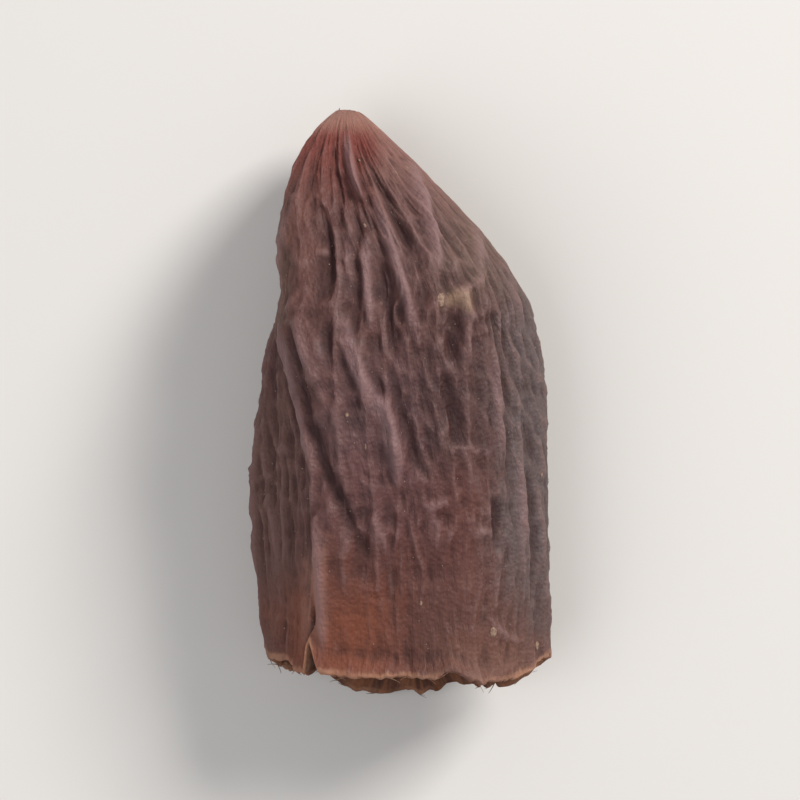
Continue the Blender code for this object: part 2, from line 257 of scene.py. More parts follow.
# %% Named folds of the upper side
FOLD_REACH = 1.15
FOLD_FADE = 0.6
FOLDS = (
    ((-2.9, 12.7), (-2.65, 10.8), (-2.1, 9.0), 0.34, 0.26, 0.22),
    ((-2.0, 7.5), (-1.9, 5.0), (-1.65, 2.4), 0.32, 0.24, 0.28),
    ((-1.75, 9.7), (-0.45, 5.8), (0.65, 1.7), 0.36, 0.26, 0.24),
    ((-0.2, 11.3), (0.75, 8.6), (1.6, 5.1), 0.36, 0.28, 0.26),
    ((-3.0, 8.8), (-2.8, 6.2), (-2.75, 3.8), 0.17, 0.22, 0.22),
    ((-5.35, 9.4), (-5.95, 6.3), (-6.15, 3.2), 0.24, 0.30, 0.24),
    ((2.3, 9.6), (3.2, 7.4), (3.6, 5.0), 0.22, 0.26, 0.34),
    ((4.15, 7.0), (5.35, 4.6), (6.15, 1.4), 0.22, 0.26, 0.34),
    ((1.9, 5.1), (2.9, 3.6), (2.7, 1.4), 0.22, 0.20, 0.26),
    ((-6.05, 3.4), (-5.05, -0.5), (-4.35, -4.2), 0.44, 0.26, 0.24),
    ((-5.3, 3.4), (-4.8, 1.8), (-4.2, 0.0), 0.24, 0.20, 0.22),
    ((-4.3, -6.0), (-4.1, -9.9), (-4.15, -13.8), 0.42, 0.28, 0.36),
    ((-6.95, 1.6), (-6.75, -1.6), (-6.35, -4.6), 0.16, 0.24, 0.20),
    ((-6.75, -4.4), (-6.35, -8.0), (-6.55, -12.4), 0.20, 0.28, 0.24),
    ((-3.05, 3.7), (-2.35, 1.1), (-1.0, -1.4), 0.32, 0.46, 0.26),
    ((-1.3, -0.3), (-0.6, -2.4), (-0.3, -4.8), 0.42, 0.46, 0.28),
    ((0.7, -5.2), (1.5, -5.6), (2.3, -5.1), 0.14, 0.22, 0.22),
    ((-1.7, -5.9), (-1.2, -7.1), (-0.7, -8.6), 0.22, 0.28, 0.24),
    ((1.0, -5.4), (1.4, -6.6), (1.5, -8.2), 0.20, 0.26, 0.24),
    ((3.2, -7.2), (3.7, -6.8), (4.2, -7.1), 0.14, 0.22, 0.22),
    ((1.8, 3.9), (2.8, 4.7), (3.9, 5.5), 0.15, 0.20, 0.20),
    ((3.85, 2.4), (4.45, -0.6), (4.65, -3.8), 0.24, 0.26, 0.36),
    ((5.55, -2.4), (5.75, -6.2), (5.75, -10.2), 0.22, 0.26, 0.26),
    ((4.1, -10.7), (4.7, -11.7), (5.9, -12.3), 0.24, 0.20, 0.20),
    ((-3.6, 11.8), (-3.3, 10.2), (-2.9, 8.2), -0.12, 0.20, 0.20),
    ((-4.0, 8.8), (-3.7, 6.8), (-3.7, 4.8), -0.22, 0.22, 0.22),
    ((-2.2, 12.0), (-0.85, 9.0), (0.7, 5.4), -0.27, 0.26, 0.26),
    ((-1.25, 6.8), (-1.0, 4.1), (-0.5, 1.0), -0.20, 0.24, 0.26),
    ((2.25, 3.7), (2.35, 2.5), (2.4, 1.2), -0.26, 0.34, 0.32),
    ((1.8, 0.7), (2.3, -0.9), (2.8, -2.8), -0.32, 0.36, 0.34),
    ((-6.65, 2.6), (-5.75, 0.2), (-5.05, -2.4), -0.19, 0.20, 0.20),
    ((-5.6, 3.0), (-4.15, -3.0), (-1.9, -8.2), -0.32, 0.24, 0.34),
    ((-1.1, 1.1), (-0.05, -1.8), (0.9, -4.4), -0.17, 0.22, 0.40),
    ((4.4, -5.0), (4.6, -6.2), (4.5, -7.8), -0.34, 0.26, 0.26),
    ((-4.85, -11.2), (-4.8, -12.3), (-4.7, -13.8), -0.42, 0.20, 0.20),
    ((-3.95, 3.2), (-3.85, 2.0), (-3.6, 0.8), -0.16, 0.24, 0.24),
    ((-3.3, -4.6), (-3.0, -6.0), (-2.8, -7.6), -0.20, 0.30, 0.28),
)


def curve_points(start, middle, end, count=15):
    """Points of the parabola through three points: the sum of three weighted corners."""
    start, middle, end = (np.array(point) * MM for point in (start, middle, end))
    bend = 2.0 * middle - 0.5 * (start + end)
    t = np.linspace(0.0, 1.0, count)[:, None]
    return (1.0 - t) ** 2 * start + 2.0 * t * (1.0 - t) * bend + t**2 * end


def nearest_on_line(x, y, line):
    """Gap to a line of short straight pieces, more than 0 on its right, and how far along."""
    nearest = np.full(x.shape, np.inf)
    along = np.zeros(x.shape)
    side = np.ones(x.shape)
    for index, (a, b) in enumerate(zip(line[:-1], line[1:])):
        step = b - a
        share = np.clip(((x - a[0]) * step[0] + (y - a[1]) * step[1]) / (step @ step), 0, 1)
        gap = np.hypot(x - a[0] - share * step[0], y - a[1] - share * step[1])
        turn = np.sign(step[0] * (y - a[1]) - step[1] * (x - a[0]))
        side = np.where(gap < nearest, turn, side)
        along = np.where(gap < nearest, (index + share) / (len(line) - 1), along)
        nearest = np.minimum(nearest, gap)
    return nearest * side, along


def fold_relief(x, y):
    """Sum of the folds: height times a bell curve of the distance, fading at both ends."""
    total = np.zeros(x.shape)
    for start, middle, end, height, to_left, to_right in FOLDS:
        gap, along = nearest_on_line(x, y, curve_points(start, middle, end))
        spread = FOLD_REACH * np.where(gap > 0.0, to_right, to_left) * MM
        taper = np.sin(np.pi * along) ** FOLD_FADE
        total += height * MM * taper * np.exp(-((gap / spread) ** 2))
    return total


print("named folds:", len(FOLDS))

# %% [markdown]
# ## Fine wrinkles
#
# Between the named folds the skin is drawn up like a raisin's, but lengthwise. Two kinds of
# noise suit this, on a grid that wraps round the fruit, with cells that are longer than wide.
#
# Gradient noise has random slopes at the grid's knots. It crosses zero along winding lines, so
# one minus its size gives long crests. Cell noise scatters one seed in each cell. On the border
# between two cells the nearest two seeds are equally far away, so a small difference between
# those distances gives a net of crests that meet three by three.

# %% Noise that closes round the fruit
CREST_ROUNDING = 0.03


def quintic(share):
    """The blend 6s^5 - 15s^4 + 10s^3, whose slope and bend are zero at both ends."""
    return share**3 * (share * (6.0 * share - 15.0) + 10.0)


def growth_noise(phi, d, cells, step, seed):
    """Gradient noise on a grid with so many cells round the fruit and one per step along it."""
    rng = np.random.default_rng(seed)
    u = np.mod(phi / (2.0 * np.pi), 1.0) * cells
    v = d / step + 2.0
    rows = int(np.ceil(v.max())) + 2
    slope = rng.uniform(0.0, 2.0 * np.pi, (rows, cells))
    left, low = np.floor(u).astype(int), np.floor(v).astype(int)
    across, up = u - left, v - low
    corners = []
    for row in (0, 1):
        for column in (0, 1):
            angle = slope[low + row, (left + column) % cells]
            corners.append(np.cos(angle) * (across - column) + np.sin(angle) * (up - row))
    blend_across, blend_up = quintic(across), quintic(up)
    near = corners[0] + (corners[1] - corners[0]) * blend_across
    far = corners[2] + (corners[3] - corners[2]) * blend_across
    return near + (far - near) * blend_up


def long_crests(phi, d, cells, step, seed, sharp=2.0):
    """Long crests, 0 to 1: one minus twice the size of the noise, raised to a power."""
    noise = growth_noise(phi, d, cells, step, seed)
    return np.clip(1.0 - 2.0 * np.sqrt(noise**2 + CREST_ROUNDING**2), 0.0, 1.0) ** sharp


def crest_net(phi, d, cells, step, seed, width=0.5, sharp=1.5):
    """Net of crests, 0 to 1: how much nearer the nearest seed is than the second, turned over."""
    rng = np.random.default_rng(seed)
    u = np.mod(phi / (2.0 * np.pi), 1.0) * cells
    v = d / step + 3.0
    rows = int(np.ceil(v.max())) + 3
    seed_u, seed_v = rng.uniform(0.08, 0.92, (2, rows, cells))
    column, row = np.floor(u).astype(int), np.floor(v).astype(int)
    first, second = np.full(u.shape, np.inf), np.full(u.shape, np.inf)
    for up in (-1, 0, 1):
        for across in (-1, 0, 1):
            place = (row + up, (column + across) % cells)
            gap = np.hypot(column + across + seed_u[place] - u, row + up + seed_v[place] - v)
            second = np.minimum(second, np.maximum(first, gap))
            first = np.minimum(first, gap)
    return np.clip(1.0 - (second - first) / width, 0.0, 1.0) ** sharp


one_place = (np.array([1.0]), np.array([10.0 * MM]))
one_grid = (40, 5.0 * MM, 1)
print("one value of each:", growth_noise(*one_place, *one_grid), crest_net(*one_place, *one_grid))

# %% [markdown]
# ## Everything that lifts or sinks the skin
#
# The folds and hollow faces go on top of the swellings. Over them come four finer levels, each
# given by its number of cells round the fruit, its step along it, and a seed. The fine levels
# fade out at the scar, where there is no room for them round the fruit. All of them but the
# long crests are weaker on the collar, where the skin is drawn tight over the rim.

# %% Relief of the skin
COLLAR_START = 20.4 * MM
COLLAR_SINK = 0.12 * MM
LIP_FLARE = 0.45 * MM
LIP_PINCH = 0.30 * MM
SLANT = 0.42
LONG_HEIGHT = 0.15 * MM
NET_HEIGHT = 0.12 * MM
FINE_HEIGHT = 0.065 * MM
CROSS_HEIGHT = 0.05 * MM
FOLD_STRENGTH = 1.18
LONG_CRESTS = (38, 6.0 * MM, 50)
NET = (34, 2.5 * MM, 51)
FINE_NET = (84, 1.1 * MM, 52)
CROSS_CRESTS = (20, 0.95 * MM, 55)


def flow_direction(phi, d):
    """Direction that the fine wrinkles keep to: it turns slowly over the middle of the fruit."""
    return phi + SLANT * ease(d, 8.0 * MM, 20.0 * MM) + 0.10 * wander(phi, d, SEED + 40)


def large_relief(phi, d, x, y):
    """Sum of swellings, long wrinkles, creases, folds, hollow faces, waist and flared lip."""
    upper = ease(np.sin(phi), -0.1, 0.35)
    lower = ease(-np.sin(phi), 0.3, 0.9)
    collar = ease(d, COLLAR_START - 1.0 * MM, COLLAR_START + 3.0 * MM)
    to_rim = ease(d, 0.90 * LENGTH, LENGTH)
    body = ease(d, 0.0, WRINKLE_START)
    coarse = wrinkles(phi, d, COARSE_WRINKLES[0], SEED) * COARSE_WRINKLES[1]
    fine = wrinkles(phi, d, FINE_WRINKLES[0], SEED + 10) * FINE_WRINKLES[1]
    random_part = (coarse * (1.0 - 0.6 * upper) + fine) * body * (1.0 - 0.6 * collar)
    lumps = LUMP_HEIGHT * wander(phi, d, SEED + 20) * body * (1.0 - 0.5 * upper)
    folds = FOLD_STRENGTH * fold_relief(x, y) * upper * (1.0 - 0.4 * collar)
    face = FACE_SINK * (1.0 - lower) - BELLY_BULGE * lower * (1.0 - to_rim)
    faces = -face * (1.0 - keel_closeness(phi, d)) * ease(d, WRINKLE_START, 0.45 * LENGTH)
    waist = -COLLAR_SINK * collar * (1.0 - to_rim) * np.sin(phi) ** 2
    lip = (LIP_FLARE * ease(d, 0.955 * LENGTH, LENGTH) - LIP_PINCH * to_rim) * np.sin(phi) ** 2
    return random_part + lumps + creases(phi, d) + folds + faces + waist + lip, folds


def small_relief(phi, d):
    """Long crests, a net, a finer net and crinkles across them, each times its own height."""
    flow = flow_direction(phi, d) + 0.05 * growth_noise(phi, d, 16, 2.6 * MM, 41)
    shifted = d + 0.6 * MM * growth_noise(phi, d, 22, 2.0 * MM, 42)
    room = shoulder(d, 9.0 * MM, 0.6)
    tight = ease(d, COLLAR_START, COLLAR_START + 2.5 * MM)
    patch = np.clip(0.9 + 0.9 * growth_noise(phi, d, 7, 5.0 * MM, 53), 0.35, 1.5)
    other = np.clip(0.9 - 0.9 * growth_noise(phi, d, 9, 4.0 * MM, 54), 0.35, 1.5)
    height = LONG_HEIGHT * (long_crests(flow, shifted, *LONG_CRESTS, 1.5) - 0.3) * patch
    net = crest_net(flow, shifted, *NET, 0.55, 1.4)
    height = height + NET_HEIGHT * (net - 0.3) * other * (1.0 - 0.65 * tight)
    fine_net = crest_net(flow, shifted, *FINE_NET, 0.6, 1.2)
    height = height + FINE_HEIGHT * (fine_net - 0.3) * (1.0 - 0.4 * tight)
    cross = long_crests(flow, shifted + 0.4 * MM * np.sin(3.0 * phi), *CROSS_CRESTS, 1.4)
    height = height + CROSS_HEIGHT * (cross - 0.35) * other * (1.0 - 0.3 * tight)
    return height * room


print("wrinkle heights in mm:", [round(1000 * h, 3) for h in (LONG_HEIGHT, NET_HEIGHT, FINE_HEIGHT)])

# %% [markdown]
# ## The rim and the flower cup
#
# Seen from above, the rim runs almost straight across. It rises a little to the left and curls
# up steeply at its right end. It has a deep narrow notch beside the left keel and shallow ones
# elsewhere, and its edge is torn as finely as dry paper. Each notch is a direction in degrees, a
# depth in millimetres and a half width in radians. Behind the rim the wall thickens down to the
# cup's floor, which is slightly domed. One profile describes all of it: ring by ring, from the
# scar along the skin, round the lip, back in along the wall and over the floor to its middle.

# %% Rim, profile and the finished surface
RIM_LEFT = 1.3 * MM
RIM_RIGHT = 1.3 * MM
RIM_RIGHT_POWER = 16
RIM_WAVE = 0.26 * MM
RIM_SWAY = 0.40 * MM
RIM_UNDER = 0.45 * MM
NOTCHES = (
    (67, 0.28, 0.07),
    (-8, 0.20, 0.15),
    (-66, 0.60, 0.12),
    (-122, 0.70, 0.12),
    (-178, 0.20, 0.15),
    (126.5, 1.60, 0.055),
)
TEAR_DEPTH = 0.26 * MM
EDGE_CURL = 0.30 * MM
LIP_WALL = 0.20 * MM
CUP_WALL = 1.4 * MM
CUP_DEPTH = 6.2 * MM
FLOOR_DOME = 0.9 * MM
FLOOR_RAYS = 10
RAY_HEIGHT = 0.22 * MM
WALL_CRESTS = 0.20 * MM
WALL_NET = 0.10 * MM
SCAR_PIT = (0.35 * MM, 0.15 * MM, 0.62 * MM)
SCAR_LIP = (0.26 * MM, 0.30 * MM, 1.60 * MM)
AROUND = 400
RING_COUNTS = (200, 10, 22, 15)
SKIN_RINGS, LIP_RINGS, CUP_RINGS, FLOOR_RINGS = RING_COUNTS
RINGS = sum(RING_COUNTS)


def rim_reach(phi):
    """How far the rim stands out: three sines, less a rise to each side and a bell per notch."""
    wave = np.sin(3.0 * phi + 0.4) + 0.7 * np.sin(5.0 * phi + 2.0) + 0.5 * np.sin(9.0 * phi)
    to_right, to_left = np.maximum(np.cos(phi), 0.0), np.maximum(-np.cos(phi), 0.0)
    reach = 0.5 * RIM_WAVE * wave - RIM_RIGHT * to_right**RIM_RIGHT_POWER - RIM_LEFT * to_left**2
    reach = reach + RIM_UNDER * ease(-np.sin(phi), 0.0, 0.8)
    for angle, depth, half_width in NOTCHES:
        turn = phi - np.radians(angle)
        off = np.arctan2(np.sin(turn), np.cos(turn))
        reach = reach - depth * MM * np.exp(-((off / half_width) ** 2))
    return reach


def rim_tear(phi):
    """Fine ragged edge: two noises round the rim, which cut back further than they add."""
    flat = np.zeros_like(phi)
    coarse = growth_noise(phi, flat + 0.3 * MM, 26, 1.0 * MM, 60)
    fine = growth_noise(phi, flat + 0.6 * MM, 90, 1.0 * MM, 61)
    return TEAR_DEPTH * (0.45 - np.clip(0.35 + 1.5 * coarse + 0.9 * fine, 0.0, 1.2))


def profile(ring):
    """Distance along the fruit, depth under the skin, share of the section, and cup share."""
    starts = np.cumsum((0,) + RING_COUNTS)
    parts = [np.clip((ring - a) / count, 0.0, 1.0) for a, count in zip(starts, RING_COUNTS)]
    skin, lip, cup, floor = parts
    d = LENGTH * (skin - 0.22 * np.sin(2.0 * np.pi * skin) / (2.0 * np.pi))
    d = d + 0.5 * LIP_WALL * np.sin(np.pi * lip) - CUP_DEPTH * cup**1.2
    d = d + FLOOR_DOME * (1.0 - (1.0 - floor) ** 2)
    inset = 0.5 * LIP_WALL * (1.0 - np.cos(np.pi * lip)) + (CUP_WALL - LIP_WALL) * cup**0.7
    return d, inset, 1.0 - floor, cup


def fig_surface(phi, ring):
    """Section point, pushed out by the relief and in by the wall, then swayed and torn."""
    d, inset, share, cup = profile(ring)
    rim_d = np.minimum(d, LENGTH)
    x, z, middle_x, middle_z = smooth_point(phi, rim_d)
    y = 0.5 * LENGTH - d
    large, folds = large_relief(phi, rim_d, x, y)
    small = small_relief(phi, rim_d)
    curl = EDGE_CURL * 2.0 * growth_noise(phi, rim_d * 0.0, 15, 1.0 * MM, 62)
    curl = curl * ease(rim_d, 0.94 * LENGTH, LENGTH) * (1.0 - ease(cup, 0.0, 0.3))
    relief = (large + small) * (1.0 - ease(cup, 0.0, 0.7)) + curl
    inner = WALL_CRESTS * (long_crests(phi, rim_d, 54, 6.0 * MM, 63, 1.2) - 0.4)
    inner = inner + WALL_NET * (crest_net(phi, rim_d, 60, 1.6 * MM, 64) - 0.3)
    inner = inner * ease(cup, 0.0, 0.25)
    away_x, away_z = x - middle_x, z - middle_z
    radius = np.maximum(np.hypot(away_x, away_z), 1e-7)
    new_radius = np.maximum(radius + relief - inset + inner, 0.0) * share
    at_stalk = ring < 0.2 * SKIN_RINGS
    pit = (1.0 - ease(new_radius, *SCAR_PIT[1:])) * at_stalk
    y = y - SCAR_PIT[0] * pit * (1.0 + 0.5 * growth_noise(phi, rim_d, 9, 1.0 * MM, 65))
    y = y + SCAR_LIP[0] * (1.0 - ease(new_radius, *SCAR_LIP[1:])) * at_stalk
    x = middle_x + away_x / radius * new_radius
    z = middle_z + away_z / radius * new_radius
    near_rim = ease(d, 0.78 * LENGTH, LENGTH) * share
    y = y - rim_reach(phi) * near_rim - rim_tear(phi) * ease(d, 0.975 * LENGTH, LENGTH) * share
    y = y - 4.0 * RAY_HEIGHT * np.cos(FLOOR_RAYS * phi) * share * (1.0 - share)
    z = z + RIM_SWAY * np.sin(2.0 * np.pi * x / WIDTH) * near_rim
    facts = {"relief": large + small, "folds": folds, "d": d, "cup": cup, "share": share}
    return np.column_stack([x, y, z]), {**facts, "scar": pit}


print("rings:", RINGS, "triangles:", 2 * AROUND * (RINGS - 1))

# %% [markdown]
# ## From formula to mesh
#
# Two arrays hold the direction and the ring number of every point, and the surface function
# turns them into places in one go. The faces join each ring to the next, the last column to the
# first, and the first and last ring to a single point each, so the skin is closed. Each point
# also keeps a few numbers, such as how far it stands on a crest, for the finish to read.

# %% Mesh from rings of points
def ring_grid(around, rings, crowd=0.0):
    """Direction and ring of each point: pole, rings, pole; crowd packs directions at the top."""
    theta = np.linspace(-np.pi, np.pi, around, endpoint=False)
    phi = theta + crowd * np.cos(theta)
    all_phi = np.concatenate([[0.0], np.tile(phi, rings - 1), [0.0]])
    all_ring = np.concatenate([[0.0], np.repeat(np.arange(1.0, rings), around), [float(rings)]])
    return all_phi, all_ring


def ring_faces(around, rings):
    """Four-sided faces between neighbouring rings and three-sided ones at the two poles."""
    column = np.arange(around)
    following = (column + 1) % around
    start = 1 + around * np.arange(rings - 2)[:, None]
    sides = [start + column, start + following, start + around + following, start + around + column]
    quads = np.stack(sides, axis=-1).reshape(-1, 4)
    last = 1 + around * (rings - 2)
    zero = np.zeros(around, dtype=int)
    first_fan = np.stack([zero, 1 + following, 1 + column], axis=-1)
    last_fan = np.stack([last + column, last + following, zero + last + around], axis=-1)
    return first_fan, quads, last_fan


def mesh_from(name, points, face_groups, values=None):
    """Puts arrays of points, faces and named numbers into a new object, shaded smooth."""
    mesh = bpy.data.meshes.new(name)
    faces = [face for group in face_groups for face in group.tolist()]
    mesh.from_pydata(points.tolist(), [], faces)
    for key, data in (values or {}).items():
        kind = "FLOAT_VECTOR" if data.ndim == 2 else "FLOAT"
        field = "vector" if data.ndim == 2 else "value"
        layer = mesh.attributes.new(key, kind, "POINT")
        layer.data.foreach_set(field, np.ascontiguousarray(data, dtype=np.float32).ravel())
    mesh.shade_smooth()
    mesh.update()
    piece = bpy.data.objects.new(name, mesh)
    bpy.context.scene.collection.objects.link(piece)
    return piece


def signed_volume(piece):
    """Volume of a closed mesh by the divergence rule; it is negative if the mesh is inside out."""
    mesh = piece.data
    mesh.calc_loop_triangles()
    corners = np.empty(3 * len(mesh.loop_triangles), dtype=int)
    mesh.loop_triangles.foreach_get("vertices", corners)
    places = np.empty(3 * len(mesh.vertices))
    mesh.vertices.foreach_get("co", places)
    a, b, c = places.reshape(-1, 3)[corners.reshape(-1, 3)].transpose(1, 0, 2)
    return float(np.einsum("ij,ij->", a, np.cross(b, c))) / 6.0


def turned_outwards(piece):
    """Turns a closed mesh's faces round if they look inwards."""
    if signed_volume(piece) < 0.0:
        piece.data.flip_normals()
    return piece


print("helpers for rings of points are ready")

# %% [markdown]
# ## The skin, rim and cup as one piece
#
# As on the solid, points below the table are lifted to it, and the surface is moved so that its
# box has the solid's centre seen from above.
#
# The finish has to know which points stand on a crest and which lie in a hollow. The height
# alone doesn't say so, because a crest may cross a low face. What counts is how far a point
# stands above the mean of its neighbours, taken once over a near and once over a far reach.

# %% Crests and hollows
NEAR = (3, 0.07 * MM)
FAR = (12, 0.26 * MM)
FULL_FOLD = 0.8 * MM


def softened(values, reach):
    """Mean over the neighbours within reach on the grid of rings, poles left as they are."""
    grid = values[1:-1].reshape(RINGS - 1, AROUND)
    for axis, mode in ((1, "wrap"), (0, "edge")):
        border = [(0, 0), (0, 0)]
        border[axis] = (reach, reach)
        wide = np.pad(grid, border, mode=mode)
        here = np.arange(grid.shape[axis])
        steps = [np.take(wide, here + step, axis=axis) for step in range(2 * reach + 1)]
        grid = np.mean(steps, axis=0)
    return np.concatenate([values[:1], grid.ravel(), values[-1:]])


def standing_out(values, reach, full):
    """0.5 on even ground, up to 1 where a point stands out by full, down to 0 in a hollow."""
    return np.clip(0.5 + 0.5 * (values - softened(values, reach)) / full, 0.0, 1.0)


# %% Build the fruit
solid_low, solid_high = (np.array(corner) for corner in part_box("dried_fig"))
phi, ring = ring_grid(AROUND, RINGS, crowd=0.22)
points, facts = fig_surface(phi, ring)
points[:, 2] = np.maximum(points[:, 2], 0.0)
shift = 0.5 * (solid_low + solid_high) - 0.5 * (points.min(axis=0) + points.max(axis=0))
shift[2] = 0.0
points += shift

flow = flow_direction(phi, facts["d"])
growth = np.column_stack([6.0 * np.cos(flow), 6.0 * np.sin(flow), facts["d"] / MM])
outside = ring <= SKIN_RINGS + 0.5 * LIP_RINGS
values = {
    "growth": growth,
    "crest": standing_out(facts["relief"], *NEAR),
    "ridge": standing_out(facts["relief"], *FAR),
    "fold": np.clip(0.5 + facts["folds"] / FULL_FOLD, 0.0, 1.0),
    "along": facts["d"] / LENGTH,
    "edge": np.where(outside, np.maximum(LENGTH - facts["d"], 0.0), facts["cup"] * CUP_DEPTH) / MM,
    "inside": np.where(outside, 0.0, 1.0),
    "floor": 1.0 - facts["share"],
    "scar": facts["scar"],
}
fig = turned_outwards(mesh_from("fig_skin_surface", points, ring_faces(AROUND, RINGS), values))
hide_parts("dried_fig")
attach(fig, "root")
print("shift in mm:", np.round(1000.0 * shift, 3), "volume in mm3:", round(signed_volume(fig) * 1e9, 1))
print("box in mm:", np.round(1000.0 * points.min(axis=0), 2), np.round(1000.0 * points.max(axis=0), 2))

# %% [markdown]
# ## A small workbench for shaders
#
# A finish is a sum of masks and colours. Written as Python, it can be read like the formula it
# is. The class below wraps one output of a node, and each sign between two of them adds a Math
# node. The workbench makes every other node through one method.

# %% Shader helpers
class Signal:
    """One output of a node; the signs +, - and * on it add Math nodes."""

    def __init__(self, bench, socket):
        self.bench = bench
        self.socket = socket

    def math(self, operation, first, second):
        """A Math node on two values."""
        return self.bench.node("ShaderNodeMath", {"operation": operation}, {0: first, 1: second})

    def __add__(self, other):
        return self.math("ADD", self, other)

    def __radd__(self, other):
        return self.math("ADD", other, self)

    def __sub__(self, other):
        return self.math("SUBTRACT", self, other)

    def __rsub__(self, other):
        return self.math("SUBTRACT", other, self)

    def __mul__(self, other):
        return self.math("MULTIPLY", self, other)

    def __rmul__(self, other):
        return self.math("MULTIPLY", other, self)

    def between(self, low, high):
        """0 below low, 1 above high and a smooth step between; low may be the larger one."""
        settings = {"interpolation_type": "SMOOTHSTEP"}
        sockets = {"Value": self, "From Min": low, "From Max": high}
        return self.bench.node("ShaderNodeMapRange", settings, sockets)


class Bench:
    """Node tree of one material, with its Principled shader."""

    def __init__(self, name):
        self.material = bpy.data.materials.new(name)
        self.material.use_nodes = True
        self.tree = self.material.node_tree
        self.shader = self.tree.nodes["Principled BSDF"]

    def plug(self, socket, value):
        """Links a signal to a socket, or sets the socket to a number or colour."""
        if isinstance(value, Signal):
            self.tree.links.new(value.socket, socket)
        else:
            socket.default_value = value

    def node(self, kind, settings, sockets, output=0):
        """Makes one node: settings first, then its sockets, and returns one output."""
        made = self.tree.nodes.new(kind)
        for key, value in settings.items():
            setattr(made, key, value)
        for key, value in sockets.items():
            self.plug(made.inputs[key], value)
        return Signal(self, made.outputs[output])

    def value(self, name):
        """A number stored on the mesh's points."""
        return self.node("ShaderNodeAttribute", {"attribute_name": name}, {}, "Fac")

    def vector(self, name, scale):
        """A vector stored on the mesh's points, stretched by scale."""
        stored = self.node("ShaderNodeAttribute", {"attribute_name": name}, {}, "Vector")
        return self.node("ShaderNodeVectorMath", {"operation": "MULTIPLY"}, {0: stored, 1: scale})

    def place(self):
        """Object coordinates in millimetres."""
        place = self.node("ShaderNodeTexCoord", {}, {}, "Object")
        return self.node("ShaderNodeVectorMath", {"operation": "MULTIPLY"}, {0: place, 1: (1000.0,) * 3})

    def axis(self, vector, letter):
        """One part of a vector."""
        return self.node("ShaderNodeSeparateXYZ", {}, {0: vector}, letter)

    def noise(self, vector, spacing, detail=3.0, rough=0.55, bend=0.0):
        """Noise whose patches are about spacing apart, in the vector's own unit."""
        sockets = {"Vector": vector, "Scale": 1.0 / spacing, "Detail": detail}
        sockets.update({"Roughness": rough, "Distortion": bend})
        return self.node("ShaderNodeTexNoise", {}, sockets, "Fac")

    def blend(self, factor, first, second):
        """Mixes two colours."""
        return self.node("ShaderNodeMix", {"data_type": "RGBA"}, {0: factor, 6: first, 7: second}, 2)

    def layered(self, colour, *layers):
        """Lays colours over the first one in turn, each as thick as its mask says."""
        for mask, shade in layers:
            colour = self.blend(mask, colour, shade)
        return colour

    def bump(self, height, distance, normal=None):
        """Tilts the normal as if the height, 0 to 1, stood out by the distance in metres."""
        sockets = {"Height": height, "Distance": distance, "Strength": 1.0}
        if normal is not None:
            sockets["Normal"] = normal
        return self.node("ShaderNodeBump", {}, sockets)

    def finish(self, **sockets):
        """Sets the shader's own sockets; an underscore stands for a space."""
        for key, value in sockets.items():
            self.plug(self.shader.inputs[key.replace("_", " ")], value)
        return self.material


print("shader workbench is ready")

# %% [markdown]
# ## The skin's finish
#
# The skin is a dull purple-brown leather. It is redder at the stalk end, tan on the right
# shoulder, dark brown on the left flank and orange-brown on the collar, and the torn edge of the
# rim is pale. The greyish lilac on the right flank is painted reflected light. Each of these is a
# soft patch, placed along the fruit and across it, with noise to break up its border. Over them
# the crests are painted paler, partly as wear and partly as painted highlight, and the hollows
# are darkened as painted shade. Every layer is one mask and one colour.

# %% Skin material
def rgb(red, green, blue):
    """Colour given as a screen shows it, 0 to 255, as the linear values a shader takes."""
    share = np.array([red, green, blue]) / 255.0
    linear = np.where(share <= 0.04045, share / 12.92, ((share + 0.055) / 1.055) ** 2.4)
    return tuple(float(c) for c in linear) + (1.0,)


